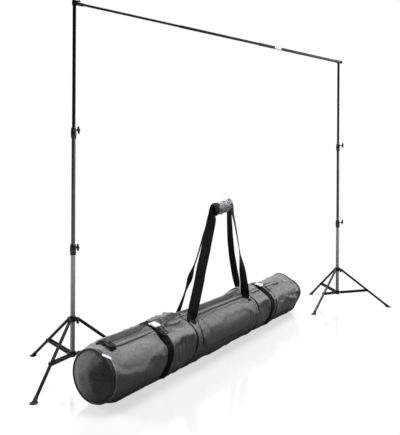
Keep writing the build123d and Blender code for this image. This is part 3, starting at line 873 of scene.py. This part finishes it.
# the inner piping over the front of the near rim is pale: a painted highlight along the rim
pipe("bagPipingInner", [skin(0.021, angle, 0.0014) for angle in range(35, 160, 3)], 0.0022, "pipingPaintedHighlight")

# ring seams with their bindings
binding = {"width": 0.009, "lift": 0.0018, "thickness": 0.0012, "wave": 0.003}
for number, place in enumerate(bag["ringSeams"], 1):
    ringBand(f"ringSeam{number}", place, binding["width"], binding["lift"], binding["thickness"],
             "binding", "piping", wave=binding["wave"])

# the long zip with its two edges, and the darker storm flap behind it
longZip = {"width": 0.024, "edgeTurn": 5.6, "edgeRadius": 0.0019, "flapTurn": -22, "flapWidth": 0.062}
zipStart, zipStop = bag["zipEnds"]
zipPoints = [(s, bag["zipAngle"]) for s in (zipStart, 0.5, 1.2, zipStop)]
routeBand("longZipTape", zipPoints, longZip["width"], 0.0010, 0.0012, "zip")
for number, offset in enumerate((-longZip["edgeTurn"], longZip["edgeTurn"]), 1):
    edge = [skin(s, angle + offset, 0.0014) for s, angle in smoothRoute(zipPoints, 0.02)]
    pipe(f"zipFlapEdge{number}", edge, longZip["edgeRadius"], "piping")
flapPoints = [(s, bag["zipAngle"] + longZip["flapTurn"]) for s in (0.052, 0.5, 0.95, 1.40)]
routeBand("zipFlap", flapPoints, longZip["flapWidth"], 0.0012, 0.0010, "flap")

# the pocket's edge: a piped seam, with a zip along its top
corner = degrees(pocket["corner"] / bag["girth"])
low, high, top, bottom = pocket["low"], pocket["high"], pocket["top"], pocket["bottom"]
pocketEdge = []
for middleS, middleA, start in (
    (high - pocket["corner"], top + corner, 0),
    (high - pocket["corner"], bottom - corner, 90),
    (low + pocket["corner"], bottom - corner, 180),
    (low + pocket["corner"], top + corner, 270),
):
    for turn in range(start, start + 91, 15):
        s = middleS + pocket["corner"] * sin(radians(turn))
        pocketEdge.append((s, middleA - corner * cos(radians(turn))))
pocketRoute = smoothRoute(pocketEdge, 0.01, closed=True)
pocketCord = [skin(s, angle, 0.0020) for s, angle in pocketRoute[:-1]]
pipe("pocketPiping", pocketCord, pocket["piping"], "piping", closed=True)
pocketZip = [
    (low + 0.05, top + 12),
    (low + 0.14, top + 6),
    (low + 0.32, top + 5),
    (high - 0.14, top + 7),
    (high - 0.05, top + 18),
]
routeBand("pocketZipTape", pocketZip, pocket["zipWidth"], 0.0014, 0.0012, "zip")
print("bag shell made")

# compression straps: the near one is only a short tab over the top, the others have a loose tail
strap = {
    "width": 0.048,
    "lift": 0.0034,
    "thickness": 0.0022,
    "wander": 0.002,
    "sides": 6,
    "tabAngles": (-14, 32),
    "tabShare": 0.6,
    "tailAngles": (28, 62),
    "tailLift": 0.0076,
}
for number, place in enumerate(bag["strapPlaces"], 1):
    if number == 1:
        width, ends = strap["width"] * strap["tabShare"], strap["tabAngles"]
    else:
        width, ends = strap["width"], (-180, 180)
    band = ringBand(f"strapBand{number}", place, width, strap["lift"], strap["thickness"],
                    "webbing", "webbing", *ends, strap["wander"], strap["sides"])
    if number == 1:
        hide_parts("bag_straps")
    else:
        ringBand(f"strapTail{number}", place - 0.010, strap["width"] * 0.94, strap["tailLift"], 0.0020,
                 "webbing", "webbing", *strap["tailAngles"], 0.005, strap["sides"])


def roundedBlock(mesh, middle, size, bevel):
    made = bmesh.ops.create_cube(mesh, size=1.0)["verts"]
    bmesh.ops.scale(mesh, vec=size, verts=made)
    bmesh.ops.translate(mesh, vec=middle, verts=made)
    edges = list({edge for vert in made for edge in vert.link_edges})
    bmesh.ops.bevel(mesh, geom=edges, offset=bevel, affect="EDGES", segments=3, profile=0.5, material=-1)


def bagMatrix(s, angle, lift):
    # x round the bag towards the front, y along it, z outwards
    a = radians(angle)
    outward = up * cos(a) - behindBag * sin(a)
    forward = -up * sin(a) - behindBag * cos(a)
    matrix = Matrix((forward, alongBag, outward)).transposed().to_4x4()
    matrix.translation = bagStart + alongBag * s + outward * (bag["girth"] + lift)
    return matrix


buckle = {
    "angle": 36,
    "lift": 0.004,
    "extraWidth": 0.004,
    "socketTurn": -19,
    "nearAngle": 19,
    "nearScale": 0.75,
    "tabBack": 0.060,
    "tabAngle": 38,
    "tabSink": 0.020,
}


def makeBuckle(number, s):
    # a socket over the top and a dark three-pronged plug below it; the socket's pale colour is a painted
    # highlight on black acetal the near one has a tab at the rim in place of the socket, pale too as a
    # painted highlight
    # each block has a middle, a size and a rounding
    width = strap["width"] + buckle["extraWidth"]
    socket = bmesh.new()
    if number == 1:
        tilt = Matrix.Rotation(radians(buckle["tabAngle"]), 4, "Z")
        place = bagMatrix(s - buckle["tabBack"], buckle["tabAngle"], -buckle["tabSink"]) @ tilt
        roundedBlock(socket, (0, 0, 0.0030), (0.046, 0.015, 0.005), 0.0018)
    else:
        place = bagMatrix(s, buckle["angle"] + buckle["socketTurn"], buckle["lift"])
        roundedBlock(socket, (0, 0, 0.0050), (0.044, width * 0.84, 0.010), 0.0034)
        roundedBlock(socket, (-0.024, 0, 0.0034), (0.006, width, 0.006), 0.0018)
        for side in (-1, 1):
            middle = (-0.020, side * (width / 2 - 0.0025), 0.0034)
            roundedBlock(socket, middle, (0.012, 0.005, 0.006), 0.0016)
    bmesh.ops.transform(socket, matrix=place, verts=socket.verts)
    # the socket's pale colour is a painted highlight
    pieceFrom(socket, f"buckleSocket{number}", cloths["paintedHighlightBuckle"], "bag")
    place = bagMatrix(s, buckle["angle"], buckle["lift"])
    if number == 1:
        place = bagMatrix(s, buckle["nearAngle"], -buckle["lift"]) @ Matrix.Scale(buckle["nearScale"], 4)
    plug = bmesh.new()
    for side in (-1, 1):
        roundedBlock(plug, (-0.014, side * (width / 2 - 0.0035), 0.0046), (0.032, 0.007, 0.0080), 0.0026)
        roundedBlock(plug, (0.014, side * (width / 2 - 0.0022), 0.0046), (0.026, 0.0044, 0.0070), 0.0018)
    roundedBlock(plug, (0.0010, 0, 0.0046), (0.008, width, 0.0085), 0.0024)
    roundedBlock(plug, (0.0140, 0, 0.0064), (0.005, width, 0.0050), 0.0018)
    roundedBlock(plug, (0.0262, 0, 0.0046), (0.0052, width, 0.0070), 0.0020)
    bmesh.ops.transform(plug, matrix=place, verts=plug.verts)
    piece = pieceFrom(plug, f"bucklePlug{number}", cloths["buckle"], "bag")
    if number == 1:
        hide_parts("bag_buckles")


for number, place in enumerate(bag["strapPlaces"], 1):
    makeBuckle(number, place)
print("straps and buckles made")

handle = {
    "frontFeet": (0.700, 1.360),
    "backFeet": (0.810, 1.560),
    "peak": 1.175,
    "height": 0.865,
    "side": 0.085,
    "split": 0.008,
    "band": 0.058,
    "thickness": 0.0036,
    "gripLength": 0.205,
    "gripRise": 0.030,
    "sewn": 0.034,
    # how each leg's webbing turns on its way up: share of the way and degrees
    "frontTurns": (
        ((0, -30), (0.06, -54), (0.90, -48), (1, 0)),
        ((0, -50), (0.22, -24), (0.5, 24), (0.85, 18), (1, 0)),
    ),
    "backTurns": (
        ((0, 10), (0.22, 22), (0.33, -4), (0.45, 24), (0.9, 20), (1, 0)),
        ((0, 8), (0.12, -16), (0.6, -12), (1, 0)),
    ),
    # how far each leg bows along the bag
    "frontBows": (0.008, 0.026),
    "backBows": (0.008, -0.024),
    "waver": 0.004,
    "footSteps": 5,
    "legSteps": 52,
    "gripSteps": 12,
}


def bagSpot(s, side, z):
    # a place at a height, beside the bag's middle line
    spot = bagStart + alongBag * s + behindBag * side
    spot.z = z
    return spot


def turnAt(turns, t):
    for (low, first), (high, second) in zip(turns, turns[1:]):
        if t <= high:
            return first + (second - first) * smooth(t, low, high)
    return turns[-1][1]


def makeHandle(name, side, feet, turns, bows, node):
    # one webbing loop: up from its near foot, through the grip and down to its far foot
    half = handle["gripLength"] / 2 + 0.012
    rise = handle["gripRise"] * half / handle["gripLength"]
    footAngle = -side * degrees(atan2(handle["side"], sqrt(bag["girth"] ** 2 - handle["side"] ** 2)))
    sewnAngle = footAngle - side * degrees(handle["sewn"] / bag["girth"])
    ends = [
        bagSpot(handle["peak"] + way * half, side * handle["split"], handle["height"] + way * rise)
        for way in (-1, 1)
    ]
    footSteps, legSteps, gripSteps = handle["footSteps"], handle["legSteps"], handle["gripSteps"]

    def leg(foot, end, turn, bow):
        rows = []
        for k in range(footSteps + 1):
            angle = sewnAngle + (footAngle - sewnAngle) * k / footSteps
            rows.append((skin(foot, angle, 0.0034), alongBag))
        start = rows[-1][0]
        run = end - start
        flat = (alongBag - run.normalized() * alongBag.dot(run.normalized())).normalized()
        for k in range(1, legSteps):
            t = k / legSteps
            place = start.lerp(end, t) + (alongBag - 0.3 * side * behindBag) * (bow * sin(pi * t))
            place += alongBag * (handle["waver"] * noise.noise(Vector((t * 6, foot * 9, side))))
            rows.append((place, Matrix.Rotation(radians(turnAt(turn, t)), 3, run) @ flat))
        return rows

    rows = leg(feet[0], ends[0], turns[0], bows[0])
    gripWay = (ends[1] - ends[0]).normalized()
    gripDown = (-up + gripWay * gripWay.z).normalized()
    for k in range(gripSteps + 1):
        rows.append((ends[0].lerp(ends[1], k / gripSteps), gripDown))
    rows += [(place, -direction) for place, direction in reversed(leg(feet[1], ends[1], turns[1], bows[1]))]
    count = len(rows)
    eased = []
    for i, (place, direction) in enumerate(rows):
        mean = sum((way for spot, way in rows[max(0, i - 2):i + 3]), Vector())
        eased.append((place, mean.normalized()))
    length = sum((b[0] - a[0]).length for a, b in zip(eased, eased[1:]))

    def lay(u, v):
        i = min(int(round(u * (count - 1))), count - 1)
        place, direction = eased[i]
        ending = min(i, count - 1 - i)
        width = handle["band"] * ((0.60, 0.90)[ending] if ending < 2 else 1.0)
        return place + direction * ((v - 0.5) * width)

    mesh = clothGrid(count - 1, 6, lay, (length, handle["band"]), False, handle["thickness"])
    piece = pieceFrom(mesh, name, cloths["webbing"], "bag")
    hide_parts(node)


makeHandle(
    "handleFront", -1, handle["frontFeet"], handle["frontTurns"], handle["frontBows"], "bag_handle_front"
)
makeHandle(
    "handleBack", 1, handle["backFeet"], handle["backTurns"], handle["backBows"], "bag_handle_back"
)


def makeWrap(name, low, high, tall, wide, puffs, cloth):
    # a padded sleeve round both bands, between two shares of the grip's length
    reach = (high - low) * handle["gripLength"]

    def lay(u, v):
        angle = v * 2 * pi
        share = low + u * (high - low)
        crease = noise.noise(Vector((share * 7, cos(angle) * 1.6, sin(angle) * 1.6)))
        fold = noise.noise(Vector((share * 19 + sin(angle) * 1.5, cos(angle) * 1.4 + 9, 2)))
        puff = 1 - 0.14 * (2 * u - 1) ** 4 + puffs * (0.11 * crease + 0.08 * fold)
        flat = abs(cos(angle)) ** 0.75 * (1 if cos(angle) > 0 else -1)
        along = (share - 0.5) * handle["gripLength"] + 0.003 * crease
        rise = handle["gripRise"] * along / handle["gripLength"] + flat * tall / 2 * puff
        return bagSpot(handle["peak"] + along, sin(angle) * wide / 2 * puff, handle["height"] + rise)

    mesh = clothGrid(44, 56, lay, (reach, 0.2), True, 0.0025)
    return pieceFrom(mesh, name, cloths[cloth], "bag")


# start and end share of the grip's length, height, width, puffiness and cloth
wraps = {
    "gripWrap": (0.22, 1.0, 0.086, 0.058, 1.2, "grip"),
    "gripCuff": (-0.03, 0.25, 0.084, 0.050, 0.6, "cuff"),
}
grip = makeWrap("gripWrap", *wraps["gripWrap"])
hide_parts("bag_grip")
makeWrap("gripCuff", *wraps["gripCuff"])
slider = {"at": 0.490, "lift": 0.0035}


def makeSlider():
    # the long zip's slider with its puller
    place = bagMatrix(slider["at"], bag["zipAngle"], slider["lift"])
    mesh = bmesh.new()
    roundedBlock(mesh, (0, 0, 0.0022), (0.012, 0.018, 0.0045), 0.0018)
    roundedBlock(mesh, (0, 0.001, 0.0052), (0.005, 0.012, 0.0022), 0.0009)
    roundedBlock(mesh, (0, 0.022, 0.0042), (0.0078, 0.028, 0.0018), 0.0008)
    bmesh.ops.transform(mesh, matrix=place, verts=mesh.verts)
    piece = pieceFrom(mesh, "zipSlider", cloths["zipMetal"], "bag_zip")
    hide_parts("bag_zip_slider")


makeSlider()
print("handles, grip and slider made")

studio = {
    "floorSize": 40,
    "floorDrop": 0.0005,
    "floorColour": 0.17,
    "floorGlow": 0.84,
    "glossyGlow": 0.04,
    "mirror": 0.21,
    "mirrorBlur": 0.13,
    "fadeFrom": 0.35,
    "fadeTo": 0.75,
    "glossyFrom": 1.2,
    "glossyTo": 3.0,
    "fill": 0.06,
    "darkSide": 0.05,
    "backdrop": (0.35, 0.70),
}


def makeFloor():
    # fades to white away from the bag, mirrors it faintly and glows only for the camera
    mesh = bmesh.new()
    bmesh.ops.create_grid(mesh, x_segments=2, y_segments=2, size=studio["floorSize"] / 2)
    data = bpy.data.meshes.new("studioFloor")
    mesh.to_mesh(data)
    mesh.free()
    data.transform(Matrix.Translation((0, 0, -studio["floorDrop"])))
    ground = bpy.data.objects.new("studioFloor", data)
    bpy.context.scene.collection.objects.link(ground)
    f = Finish("studioFloor")
    f.surface(Base_Color=grey(studio["floorColour"]), Roughness=0.6, Specular_IOR_Level=0.0)
    middle = bagStart + alongBag * (bag["length"] / 2)
    x, y = f.parts(f.coordinates())[:2]
    reach = (x - middle.x) * alongBag.x + (y - middle.y) * alongBag.y
    aside = (x - middle.x) * behindBag.x + (y - middle.y) * behindBag.y
    beyond = (abs(reach) - bag["length"] / 2).most(0.0)
    distance = (beyond * beyond + aside * aside) ** 0.5
    away = distance.between(studio["fadeFrom"], studio["fadeTo"])
    farAway = distance.between(studio["glossyFrom"], studio["glossyTo"])
    direct, glossy = f.rays("Camera", "Transmission"), f.rays("Glossy")
    strength = direct * studio["floorGlow"] + glossy * studio["glossyGlow"]
    plain = (1.0, 1.0, 1.0)
    glow = f.add("ShaderNodeEmission", None, {"Color": plain, "Strength": strength})
    mirror = f.add("ShaderNodeBsdfAnisotropic", None, {"Color": plain, "Roughness": studio["mirrorBlur"]})
    painted = f.add("ShaderNodeAddShader", None, {0: Signal(f, f.shader.outputs[0]), 1: glow})
    shiny = f.add("ShaderNodeMixShader", None, {0: direct * studio["mirror"], 1: painted, 2: mirror})
    white = f.add("ShaderNodeEmission", None, {"Color": plain, "Strength": 1.0})
    total = f.add("ShaderNodeMixShader", None, {0: direct * away + glossy * farAway, 1: shiny, 2: white})
    f.tree.links.new(total.socket, f.output.inputs["Surface"])
    data.materials.append(f.material)


makeFloor()


def makeWorld():
    # white for the camera; glossy rays meet the white backdrop ahead and a dim studio behind
    world = bpy.data.worlds.new("studioWorld")
    bpy.context.scene.world = world
    board = Board(world)
    way = board.add("ShaderNodeTexCoord", output=0)
    towards = {0: way, 1: tuple(ahead)}
    facing = board.add("ShaderNodeVectorMath", {"operation": "DOT_PRODUCT"}, towards, output=1)
    backdrop = studio["darkSide"] + (1.0 - studio["darkSide"]) * facing.between(*studio["backdrop"])
    glossy = board.rays("Glossy")
    direct = board.rays("Camera", "Transmission")
    level = studio["fill"] + direct * (1.0 - studio["fill"]) + glossy * (backdrop - studio["fill"])
    light = board.add("ShaderNodeBackground", None, {"Color": (1.0, 1.0, 1.0), "Strength": level})
    output = board.tree.nodes.new("ShaderNodeOutputWorld")
    board.tree.links.new(light.socket, output.inputs["Surface"])


makeWorld()

# place, aim, size and power; some lamps light only what is matt, or only show in what is glossy
lamps = {
    "overhead": {
        "at": (0.7, 0.5, 7.0),
        "aim": (0.2, -0.05, 0.0),
        "size": (3.8, 2.6),
        "power": 920,
    },
    "rightSoft": {
        "at": (2.5, -1.2, 1.9),
        "aim": (-0.5, -0.1, 0.15),
        "size": (2.1, 1.7),
        "power": 60,
        "hides": "diffuse",
    },
    "leftBack": {
        "at": (-2.7, 2.3, 1.3),
        "aim": (-1.2, -0.3, 0.15),
        "size": (1.2, 1.2),
        "power": 195,
        "hides": "glossy",
    },
    "rightStrip": {
        "at": (0.6, -3.9, 1.3),
        "aim": (-0.6, 0.0, 0.9),
        "size": (0.9, 2.4),
        "power": 24,
        "hides": "diffuse",
    },
}
for name, lamp in lamps.items():
    light = bpy.data.lights.new(name, "AREA")
    light.shape = "RECTANGLE"
    light.size, light.size_y = lamp["size"]
    light.energy = lamp["power"]
    lampObject = bpy.data.objects.new(name, light)
    lampObject.location = lamp["at"]
    aim = Vector(lamp["aim"]) - Vector(lamp["at"])
    lampObject.rotation_euler = aim.to_track_quat("-Z", "Y").to_euler()
    lampObject.visible_glossy = lamp.get("hides") != "glossy"
    lampObject.visible_diffuse = lamp.get("hides") != "diffuse"
    bpy.context.scene.collection.objects.link(lampObject)
bpy.context.scene.view_settings.view_transform = "Standard"
print("studio lit")
